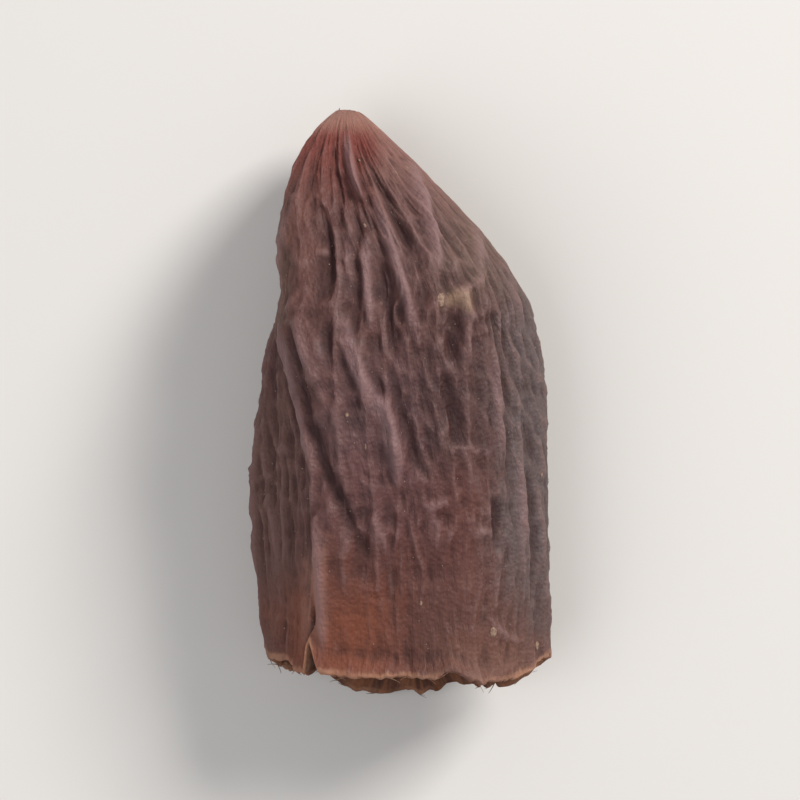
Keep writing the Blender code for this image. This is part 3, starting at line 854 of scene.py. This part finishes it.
def skin_finish():
    """Base brown, then soft patches, then crests and hollows, then the rim, cup and scar."""
    bench = Bench("fig_skin")
    place = bench.place()
    x, y, z = (bench.axis(place, letter) for letter in "XYZ")
    along, edge, inside, floor = (bench.value(n) for n in ("along", "edge", "inside", "floor"))
    crest, ridge, fold, scar = (bench.value(n) for n in ("crest", "ridge", "fold", "scar"))
    lines = bench.vector("growth", (1.0, 1.0, 0.16))

    drift = bench.noise(place, 3.2, 4.0) - 0.5
    sway = bench.noise(place, 2.3, 4.0) - 0.5
    mottle = bench.noise(place, 0.9, 5.0, 0.62)
    streak = bench.noise(lines, 0.34, 5.0, 0.6, 0.4)
    speck = bench.noise(place, 0.22, 4.0, 0.7)

    def patch(left, right, low, high, wide, long):
        """1 inside a rectangle seen from above, in mm; its borders wander and are wide or long."""
        across = x + drift * (1.6 * wide) + (streak - 0.5) * wide
        lengthwise = y + sway * (2.6 * long) + (streak - 0.5) * (1.6 * long)
        sides = across.between(left - wide, left + wide) * across.between(right + wide, right - wide)
        ends = lengthwise.between(low - long, low + long) * lengthwise.between(high + long, high - long)
        return sides * ends

    tip = (along + drift * 0.08 + (streak - 0.5) * 0.16).between(0.24, 0.03)
    redness = bench.blend((x + drift * 2.0).between(-1.9, -0.6), rgb(124, 58, 48), rgb(142, 98, 88))
    under = z.between(3.2, 1.4)
    colour = bench.layered(
        bench.blend(mottle.between(0.30, 0.70), rgb(74, 45, 43), rgb(96, 63, 58)),
        # Lower face, lilac middle, and painted shade over the pitted hollow beside it
        (patch(-4.5, 6.0, -18.0, -3.5, 2.4, 2.4) * 0.50, rgb(102, 58, 49)),
        (patch(-3.4, 1.6, -6.5, 1.5, 1.6, 2.0) * 0.35, rgb(100, 73, 76)),
        (patch(0.8, 4.2, -3.4, 3.4, 1.5, 1.8) * 0.50, rgb(56, 34, 33)),
        # Stalk end, painted highlight on the fan below it, the tan shoulder, and painted highlight
        # as a tan strip along the left edge
        (tip * 0.85, redness),
        (patch(-0.9, 2.4, 5.5, 12.0, 0.8, 1.6) * 0.28, rgb(128, 98, 94)),
        (patch(-6.5, -3.2, 4.0, 10.5, 1.0, 2.0) * 0.36, rgb(118, 76, 66)),
        (patch(2.2, 8.5, 5.2, 11.5, 1.7, 3.0) * 0.62, rgb(111, 91, 79)),
        (patch(-8.0, -5.4, 4.2, 9.0, 0.7, 2.4) * 0.52, rgb(120, 97, 80)),
        # Painted reflected light as a greyish lilac on the right flank, and the dark left flank
        (patch(4.6, 10.0, -11.5, 5.8, 1.5, 3.0) * 0.70, rgb(93, 84, 83)),
        (patch(-9.0, -4.7, -18.0, 0.0, 0.7, 2.6) * 0.72, rgb(98, 67, 59)),
        # Collar: brown, orange on the left, paler at its right end, and a painted highlight along the
        # keel
        (patch(0.5, 7.0, -18.0, -9.4, 2.2, 2.4) * 0.65, rgb(94, 60, 50)),
        (patch(-5.9, -0.2, -18.0, -8.8, 1.8, 2.0) * 0.80, rgb(124, 68, 46)),
        (patch(1.2, 6.8, -18.0, -11.6, 1.2, 0.9) * 0.50, rgb(122, 84, 70)),
        (patch(-4.6, -3.5, -11.4, -7.4, 0.3, 0.8) * 0.60, rgb(152, 107, 92)),
        (under * 0.5, rgb(84, 54, 46)),
    )

    hollow = 1.0 - (1.0 - ridge.between(0.50, 0.05)) * (1.0 - crest.between(0.44, 0.05) * 0.55)
    crest_wear_and_highlight = 1.0 - (1.0 - ridge.between(0.54, 1.0) * 0.8) * (1.0 - crest.between(0.58, 1.0) * 0.7)
    mark = patch(1.8, 3.4, 3.9, 5.0, 0.3, 0.3) * fold.between(0.44, 0.70)
    colour = bench.layered(
        colour,
        # Painted shade in the hollows, crests paler partly as wear and partly as painted highlight,
        # painted highlight on fold crests and painted shade in fold grooves, the pale mark, fine lines
        # and specks
        (hollow * 0.64, rgb(46, 24, 23)),
        (crest_wear_and_highlight * 0.38, rgb(138, 106, 102)),
        (fold.between(0.58, 0.95) * 0.40, rgb(142, 111, 111)),
        (fold.between(0.42, 0.15) * 0.32, rgb(52, 29, 28)),
        (mark * 0.60, rgb(154, 126, 100)),
        (streak.between(0.56, 0.76) * 0.24, rgb(130, 100, 92)),
        (streak.between(0.44, 0.26) * 0.30, rgb(52, 30, 28)),
        (speck.between(0.66, 0.82) * 0.22, rgb(146, 120, 104)),
    )

    # Cup wall: orange-brown, kept dark as painted shade of the mouth, with more painted shade deeper in
    # and on the floor
    wall = bench.layered(
        bench.blend(streak.between(0.35, 0.65), rgb(70, 40, 28), rgb(118, 73, 48)),
        (edge.between(0.3, 3.2) * 0.75, rgb(44, 26, 21)),
        (floor.between(0.0, 0.25) * 0.7, rgb(58, 38, 28)),
    )
    pale = (edge + (streak - 0.5) * 0.6 + (mottle - 0.5) * 0.5).between(0.28, 0.02)
    worn = 0.55 + (drift + sway) * 1.2 - under * 0.30 - patch(1.6, 5.2, -18.0, -12.0, 0.6, 1.0) * 0.32
    # A pale band round the stalk scar's border is a painted highlight on the tip's edge
    scar_rim_highlight = (along + (streak - 0.5) * 0.01).between(0.060, 0.018) * (1.0 - scar)
    colour = bench.layered(
        colour,
        (inside, wall),
        (pale * worn, rgb(176, 130, 102)),
        (scar_rim_highlight * 0.75, rgb(164, 122, 108)),
        (scar * 0.75, bench.blend(mottle, rgb(140, 100, 84), rgb(180, 150, 128))),
    )

    fibre = bench.noise(lines, 0.16, 4.0, 0.6, 0.6)
    leather = bench.node(
        "ShaderNodeTexVoronoi",
        {"feature": "SMOOTH_F1"},
        {"Vector": place, "Scale": 1.0 / 0.20, "Smoothness": 0.6},
        "Distance",
    )
    grain = bench.noise(place, 0.07, 3.0, 0.6)
    normal = bench.bump(fibre, 0.08 * MM)
    normal = bench.bump(leather, 0.045 * MM, normal)
    normal = bench.bump(grain, 0.016 * MM, normal)

    roughness = 0.57 + (mottle - 0.5) * 0.30 - crest_wear_and_highlight * 0.10 + hollow * 0.16 + inside * 0.2
    bench.finish(Subsurface_Weight=0.08, Subsurface_Scale=0.4 * MM, Subsurface_Radius=(1.0, 0.4, 0.25))
    bench.finish(IOR=1.45, Specular_IOR_Level=0.36)
    return bench.finish(Base_Color=colour, Roughness=roughness, Normal=normal)


fig.data.materials.append(skin_finish())
print("skin nodes:", len(fig.data.materials[0].node_tree.nodes))

# %% [markdown]
# ## Closed tubes along many paths
#
# The withered flower and the torn fibres are all thin tapering threads. A curve object with a
# bevel would do for a few. For hundreds, one mesh is lighter: a ring of points round every point
# of every path, all worked out together, with a point at each end to close it.

# %% Tubes
def unit(vectors):
    """Each vector over its own length."""
    return vectors / np.maximum(np.linalg.norm(vectors, axis=-1, keepdims=True), 1e-12)


def closed_copies(name, points, face_groups):
    """One mesh of many closed shapes: a row of points for each, the same faces on every row."""
    start = (points.shape[1] * np.arange(len(points)))[:, None, None]
    groups = [(group[None] + start).reshape(-1, group.shape[1]) for group in face_groups]
    return turned_outwards(mesh_from(name, points.reshape(-1, 3), groups))


def tubes(name, paths, radii, sides=5):
    """Centre plus radius times (cos a, sin a) in the plane across the path, ends closed."""
    count, steps = radii.shape
    along = unit(np.gradient(paths, axis=1))
    helper = np.zeros((count, 1, 3))
    helper[np.arange(count), 0, np.argmin(np.abs(along.mean(axis=1)), axis=1)] = 1.0
    one = unit(np.cross(along, helper))
    two = np.cross(along, one)
    angle = np.linspace(0.0, 2.0 * np.pi, sides, endpoint=False)[:, None]
    spokes = np.cos(angle) * one[:, :, None] + np.sin(angle) * two[:, :, None]
    rings = (paths[:, :, None] + radii[:, :, None, None] * spokes).reshape(count, -1, 3)
    first = paths[:, :1] - along[:, :1] * radii[:, :1, None]
    last = paths[:, -1:] + along[:, -1:] * radii[:, -1:, None]
    points = np.concatenate([first, rings, last], axis=1)
    return closed_copies(name, points, ring_faces(sides, steps + 1))


def dress(piece, material):
    """Gives a small piece its material, and lets it ride with the fruit."""
    piece.data.materials.append(material)
    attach(piece, "root")
    print(piece.name, "faces:", len(piece.data.polygons))


def dry_finish(name, dark, light, spacing, rough):
    """Dry plant matter: two colours mixed by a noise, with the same noise as fine relief."""
    bench = Bench(name)
    mix = bench.noise(bench.place(), spacing, 4.0, 0.65)
    colour = bench.blend(mix.between(0.36, 0.64), dark, light)
    normal = bench.bump(mix, 0.2 * spacing * MM)
    return bench.finish(Base_Color=colour, Roughness=rough + (mix - 0.5) * 0.3, Normal=normal)


# %% [markdown]
# ## The withered flower in the cup
#
# Behind the rim the flower has dried in place. Its stigmas are a star of blunt horns in the
# middle of the cup's floor, and its many stamens have matted into threads that lean along the
# wall towards the mouth. Both are placed with the surface function itself: a thread follows the
# wall's own points, drawn in towards the middle of the cup, so it can never pass through it.

# %% Stigmas and stamens
FLOOR_START = SKIN_RINGS + LIP_RINGS + CUP_RINGS
STIGMAS = 11
STAMENS = 150


def in_cup(phi, ring, share, lift):
    """Wall or floor point, drawn to the middle by share, and lifted towards the mouth."""
    wall, facts = fig_surface(phi.ravel(), ring.ravel())
    d = np.minimum(facts["d"], LENGTH)
    middle_x, middle_z = smooth_point(phi.ravel(), d)[2:]
    middle = np.column_stack([middle_x, wall[:, 1], middle_z])
    place = middle + (wall - middle) * share.reshape(-1, 1)
    place[:, 1] -= lift.ravel()
    return place.reshape(*phi.shape, 3) + shift


def stigma_star():
    """Horns that run out over the floor from its middle and curl up at their tips."""
    rng = np.random.default_rng(81)
    t = np.linspace(0.0, 1.0, 12)[None]
    column = (STIGMAS, 1)
    number = np.arange(STIGMAS)[:, None]
    angle = 2.0 * np.pi * (number + rng.uniform(-0.25, 0.25, column)) / STIGMAS
    angle = angle + rng.uniform(-0.3, 0.3, column) * t
    length = rng.uniform(0.42, 0.62, column)
    ring = FLOOR_START + (0.96 - length * t) * FLOOR_RINGS
    lift = (0.22 + rng.uniform(0.4, 1.1, column) * t**2.2) * MM
    radii = (0.25 * (1.0 - t) ** 0.7 + 0.045) * MM * rng.uniform(0.85, 1.15, column)
    return tubes("stigmas", in_cup(angle, ring, np.ones_like(ring), lift), radii, 9)


def stamen_mat():
    """Threads that follow the cup's wall from floor to mouth, drawn in and bent sideways."""
    rng = np.random.default_rng(82)
    column = (STAMENS, 1)
    t = np.linspace(0.0, 1.0, 9)[None]
    angle = rng.uniform(0.0, 2.0 * np.pi, column) + rng.normal(0.0, 0.35, column) * t
    angle = angle + 0.12 * np.sin(rng.uniform(3.0, 8.0, column) * t + rng.uniform(0.0, 6.0, column))
    ring = FLOOR_START - CUP_RINGS * rng.uniform(0.25, 0.72, column) * t
    share = rng.uniform(0.72, 0.93, column) - rng.uniform(0.0, 0.30, column) * t**1.5
    share = share + 0.03 * np.sin(rng.uniform(4.0, 9.0, column) * t)
    radii = (0.045 - 0.022 * t) * MM * rng.uniform(0.8, 1.3, column)
    return tubes("stamen_threads", in_cup(angle, ring, share, 0.15 * MM + 0.0 * ring), radii, 5)


dress(stigma_star(), dry_finish("stigma_finish", rgb(52, 34, 26), rgb(112, 78, 54), 0.5, 0.7))
dress(stamen_mat(), dry_finish("stamen_finish", rgb(74, 48, 32), rgb(150, 112, 78), 0.6, 0.65))

# %% [markdown]
# ## Torn fibres at the rim and the stalk scar
#
# Dry tissue never breaks cleanly. A few dozen strands have come loose along the torn rim, and a
# few short stubs stand where the stalk broke off. A strand's path is a heading with some random
# stray and a sideways bend. It starts a little inside the skin, so that no root floats.

# %% Fibres
def fibres(name, roots, heading, length, thick, seed, bend, stray):
    """A path from each root: a heading with random stray, plus a random sideways bend."""
    rng = np.random.default_rng(seed)
    count = len(roots)
    t = np.linspace(-0.12, 1.0, 7)[None, :, None]
    heading = unit(heading + rng.normal(0.0, stray, (count, 3)))
    sideways = unit(np.cross(heading, rng.normal(0.0, 1.0, (count, 3))))
    reach = (length * rng.uniform(0.35, 1.0, count) ** 1.5)[:, None, None] * MM
    paths = roots[:, None] + reach * (heading[:, None] * t + bend * sideways[:, None] * t * np.abs(t))
    paths[:, :, 2] = np.maximum(paths[:, :, 2], 1.5 * thick * MM)
    radii = thick * MM * (1.0 - 0.6 * np.clip(t[..., 0], 0.0, 1.0)) * rng.uniform(0.7, 1.3, (count, 1))
    return tubes(name, paths, radii, 4)


rng = np.random.default_rng(83)
RIM_STRANDS, SCAR_STUBS = 54, 12


def rim_place(phi):
    """Middle of the torn edge in a direction round the fruit."""
    middle = np.full(phi.shape, SKIN_RINGS + 0.5 * LIP_RINGS)
    return fig_surface(phi, middle)[0] + shift


rim_phi = rng.uniform(0.0, 2.0 * np.pi, RIM_STRANDS)
side = rng.choice([-1.0, 1.0], RIM_STRANDS)
along_rim = unit(rim_place(rim_phi + 0.03 * side) - rim_place(rim_phi)) - [0.0, 0.15, 0.0]
straw = dry_finish("torn_fibre_finish", rgb(104, 68, 52), rgb(150, 112, 88), 0.3, 0.75)
dress(fibres("rim_fibres", rim_place(rim_phi), along_rim, 0.70, 0.024, 84, 0.25, 0.10), straw)
scar_phi = rng.uniform(0.0, 2.0 * np.pi, SCAR_STUBS)
scar_root = fig_surface(scar_phi, rng.uniform(0.6, 1.6, SCAR_STUBS))[0] + shift
stalk = np.tile([-0.1, 1.0, 0.15], (SCAR_STUBS, 1))
dress(fibres("stalk_fibres", scar_root, stalk, 0.18, 0.045, 85, 0.3, 0.3), straw)

# %% [markdown]
# ## Scabs and dust on the skin
#
# Here and there a scrap of dry outer skin has lifted and shows pale, three of them large enough
# to notice. Pale dust has stuck in the wrinkles. Both are small lumpy pads, set on points of
# the skin mesh and turned to lie flat on it.

# %% Scabs and dust grains
def skin_frames(index):
    """Place, direction along the fruit, direction across it, and normal at points of the skin."""
    flat = np.empty(3 * len(fig.data.vertices))
    fig.data.vertex_normals.foreach_get("vector", flat)
    normal = flat.reshape(-1, 3)[index]
    along = points[index + AROUND] - points[index]
    across = unit(np.cross(normal, along))
    return points[index], unit(np.cross(across, normal)), across, normal


def scattered(name, index, size, seed, rings, around, roughen):
    """Small round pads: a sphere stretched by three half sizes, with bumps on its radius."""
    rng = np.random.default_rng(seed)
    count = len(index)
    pad_phi, pad_ring = ring_grid(around, rings)
    polar = np.pi * pad_ring / rings
    level = np.sin(polar)
    ball = np.column_stack([level * np.cos(pad_phi), level * np.sin(pad_phi), np.cos(polar)])
    bumps = 1.0 + roughen * rng.uniform(-1.0, 1.0, (count, len(ball), 1))
    local = ball[None] * bumps * size[:, None] * MM
    place, along, across, normal = (part[:, None] for part in skin_frames(index))
    shape = place + local[..., :1] * along + local[..., 1:2] * across + local[..., 2:] * normal
    shape[..., 2] = np.maximum(shape[..., 2], 0.0)
    return closed_copies(name, shape, ring_faces(around, rings))


SPECKS = ((1.95, 4.5), (4.45, -11.2), (6.6, -11.9))
SPECK_SIZES = ((0.34, 0.24, 0.06), (0.24, 0.17, 0.05), (0.22, 0.12, 0.05))
SCABS, DUST_GRAINS = 13, 260
upper_skin = np.where((ring > 8) & (ring < SKIN_RINGS - 6) & (points[:, 2] > 3.5 * MM))[0]
nearest = [
    upper_skin[np.argmin(np.hypot(*(points[upper_skin, :2] / MM - speck).T))] for speck in SPECKS
]
scabs = np.concatenate([nearest, rng.choice(upper_skin, SCABS - len(SPECKS), replace=False)])
scab_long = rng.uniform(0.08, 0.16, SCABS)
scab_wide = rng.uniform(0.04, 0.09, SCABS)
scab_size = np.column_stack([scab_long, scab_wide, np.full(SCABS, 0.018)])
scab_size[: len(SPECKS)] = SPECK_SIZES
dress(
    scattered("skin_scabs", scabs, scab_size, 86, 9, 16, 0.13),
    dry_finish("scab_finish", rgb(112, 85, 72), rgb(154, 127, 106), 0.12, 0.75),
)
low_spots = np.where((ring > 8) & (ring < SKIN_RINGS - 2) & (values["ridge"] < 0.45))[0]
dust = rng.choice(low_spots, DUST_GRAINS, replace=False)
dust_size = np.repeat(rng.uniform(0.014, 0.034, DUST_GRAINS)[:, None], 3, axis=1)
dress(
    scattered("dust_grains", dust, dust_size, 87, 3, 5, 0.3),
    dry_finish("dust_finish", rgb(132, 112, 96), rgb(178, 160, 142), 0.1, 0.85),
)

# %% [markdown]
# ## Table, lights and camera
#
# The fruit lies on a plain pale table under soft studio light. The main lamp is at the upper
# right, so that the right flank is light and the left flank dark, and a wider, weaker one
# opposite keeps the shadows soft. The camera looks down on the fruit with the stalk scar at the
# top, a few degrees from straight above on the rim's side, so that the dark mouth just shows.

# %% Table
def table_top():
    """Square at height 0, centred under the fruit."""
    half = 0.6
    corners = np.array([[-half, -half, 0.0], [half, -half, 0.0], [half, half, 0.0], [-half, half, 0.0]])
    top = mesh_from("table_top", corners, [np.array([[0, 1, 2, 3]])])
    bench = Bench("pale_table")
    top.data.materials.append(bench.finish(Base_Color=rgb(222, 219, 214), Roughness=0.8))
    top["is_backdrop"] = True


table_top()

# %% Lights
def placed(data, place, towards):
    """New object for a lamp or camera at a place, with its back turned towards a direction."""
    holder = bpy.data.objects.new(data.name, data)
    holder.location = place
    holder.rotation_mode = "QUATERNION"
    holder.rotation_quaternion = towards.to_track_quat("Z", "Y")
    bpy.context.scene.collection.objects.link(holder)
    return holder


def soft_lamp(name, direction, distance, size, power, colour):
    """Square lamp that faces the fruit from a direction, as far away as distance."""
    lamp = bpy.data.lights.new(name, "AREA")
    lamp.size = size
    lamp.energy = power
    lamp.color = colour
    towards = Vector(direction).normalized()
    placed(lamp, towards * distance, towards)


soft_lamp("key_lamp", (0.80, 0.66, 0.74), 0.40, 0.14, 1.6, (1.0, 0.97, 0.94))
soft_lamp("fill_lamp", (-0.9, -0.4, 1.2), 0.45, 0.40, 0.8, (0.97, 0.97, 1.0))

world = bpy.data.worlds.new("studio")
world.use_nodes = True
world.node_tree.nodes["Background"].inputs["Color"].default_value = (0.95, 0.96, 1.0, 1.0)
world.node_tree.nodes["Background"].inputs["Strength"].default_value = 0.35
bpy.context.scene.world = world
bpy.context.scene.view_settings.view_transform = "Standard"

# %% Camera
CAMERA_LENS = 180.0
CAMERA_ELEVATION = np.radians(86.5)
VISIBLE_HEIGHT = 37.5 * MM
low, high = (np.array(corner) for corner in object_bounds())
aim = Vector((0.5 * (low + high)).tolist())
lens = bpy.data.cameras.new("camera")
lens.lens = CAMERA_LENS
lens.clip_start = 0.01
distance = VISIBLE_HEIGHT * CAMERA_LENS / lens.sensor_width + 0.5 * THICKNESS
back = Vector((0.0, -float(np.cos(CAMERA_ELEVATION)), float(np.sin(CAMERA_ELEVATION))))
bpy.context.scene.camera = placed(lens, aim + back * distance, back)
print("camera distance in mm:", round(1000.0 * distance, 1))
